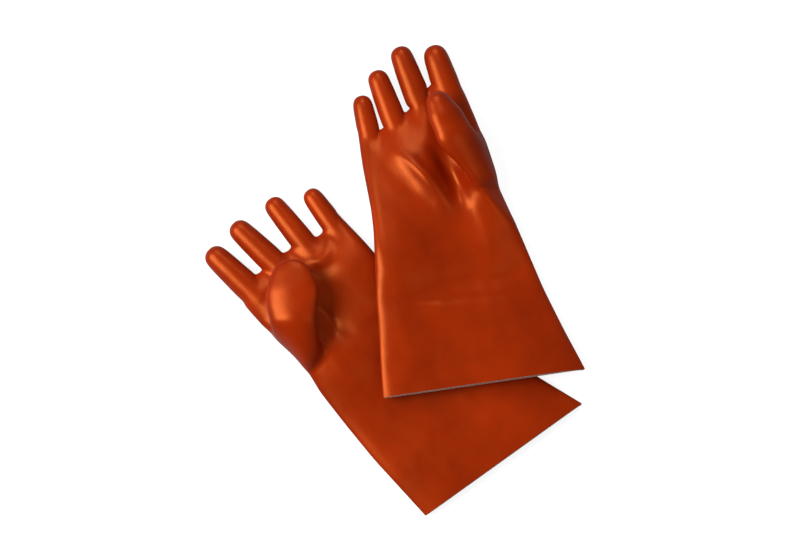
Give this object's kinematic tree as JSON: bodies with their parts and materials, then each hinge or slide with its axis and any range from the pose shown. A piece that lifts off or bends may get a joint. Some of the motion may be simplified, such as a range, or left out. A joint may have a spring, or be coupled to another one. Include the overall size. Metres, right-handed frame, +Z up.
{
  "type": "rubber gloves",
  "caption": "Pair of long red-orange rubber gauntlet gloves with knit liners, lying palms up, the right one across the left one's cuff.",
  "frame": {"origin": "centre of the pair's bounding box, on the surface that the gloves lie on", "axes": "+Z up out of the palms, +Y halfway between the two gloves' finger directions, +X to the right glove's side"},
  "size_m": [0.309, 0.4108, 0.0572],
  "materials": {
    "rubber_coat": "glossy dipped rubber, brick red to orange",
    "knit_liner": "fine undyed cotton knit, stained pink by the dip"
  },
  "bodies": {
    "left_glove": {"left_hand_coat": "rubber_coat", "left_hand_liner": "knit_liner"},
    "right_glove": {"right_hand_coat": "rubber_coat", "right_hand_liner": "knit_liner"},
    "left_little": {"left_little_coat": "rubber_coat", "left_little_liner": "knit_liner"},
    "left_ring": {"left_ring_coat": "rubber_coat", "left_ring_liner": "knit_liner"},
    "left_middle": {"left_middle_coat": "rubber_coat", "left_middle_liner": "knit_liner"},
    "left_index": {"left_index_coat": "rubber_coat", "left_index_liner": "knit_liner"},
    "left_thumb": {"left_thumb_coat": "rubber_coat", "left_thumb_liner": "knit_liner"},
    "right_little": {"right_little_coat": "rubber_coat", "right_little_liner": "knit_liner"},
    "right_ring": {"right_ring_coat": "rubber_coat", "right_ring_liner": "knit_liner"},
    "right_middle": {"right_middle_coat": "rubber_coat", "right_middle_liner": "knit_liner"},
    "right_index": {"right_index_coat": "rubber_coat", "right_index_liner": "knit_liner"},
    "right_thumb": {"right_thumb_coat": "rubber_coat", "right_thumb_liner": "knit_liner"}
  },
  "joints": [
    {"name": "right_glove_lift", "type": "slide", "parent": "left_glove", "child": "right_glove", "axis": [0, 0, 1], "range_m": [0, 0.25]},
    {"name": "left_little_flex", "type": "hinge", "parent": "left_glove", "child": "left_little", "pos_m": [-0.03227, 0.09726, 0.0076], "axis": [0.9972, 0.0747, 0], "range_deg": [0, 75]},
    {"name": "left_ring_flex", "type": "hinge", "parent": "left_glove", "child": "left_ring", "pos_m": [-0.06578, 0.09308, 0.00844], "axis": [0.9926, 0.1218, 0], "range_deg": [0, 75]},
    {"name": "left_middle_flex", "type": "hinge", "parent": "left_glove", "child": "left_middle", "pos_m": [-0.10208, 0.09282, 0.00907], "axis": [0.9735, 0.2288, 0], "range_deg": [0, 75]},
    {"name": "left_index_flex", "type": "hinge", "parent": "left_glove", "child": "left_index", "pos_m": [-0.13463, 0.07937, 0.00949], "axis": [0.9727, 0.2319, 0], "range_deg": [0, 75]},
    {"name": "left_thumb_flex", "type": "hinge", "parent": "left_glove", "child": "left_thumb", "pos_m": [-0.11471, 0.02013, 0.043], "axis": [0.8236, -0.3183, 0.4694], "range_deg": [0, 50]},
    {"name": "right_little_flex", "type": "hinge", "parent": "right_glove", "child": "right_little", "pos_m": [0.05063, 0.15539, 0.0076], "axis": [0.9542, -0.299, 0], "range_deg": [0, 75]},
    {"name": "right_ring_flex", "type": "hinge", "parent": "right_glove", "child": "right_ring", "pos_m": [0.07657, 0.15183, 0.00865], "axis": [0.9847, -0.1745, 0], "range_deg": [0, 75]},
    {"name": "right_middle_flex", "type": "hinge", "parent": "right_glove", "child": "right_middle", "pos_m": [0.10849, 0.15858, 0.00907], "axis": [0.9853, -0.1708, 0], "range_deg": [0, 75]},
    {"name": "right_index_flex", "type": "hinge", "parent": "right_glove", "child": "right_index", "pos_m": [0.13872, 0.15178, 0.00949], "axis": [0.9812, -0.1928, 0], "range_deg": [0, 75]},
    {"name": "right_thumb_flex", "type": "hinge", "parent": "right_glove", "child": "right_thumb", "pos_m": [0.11873, 0.08846, 0.045], "axis": [0.957, 0.0903, -0.2756], "range_deg": [0, 50]}
  ]
}
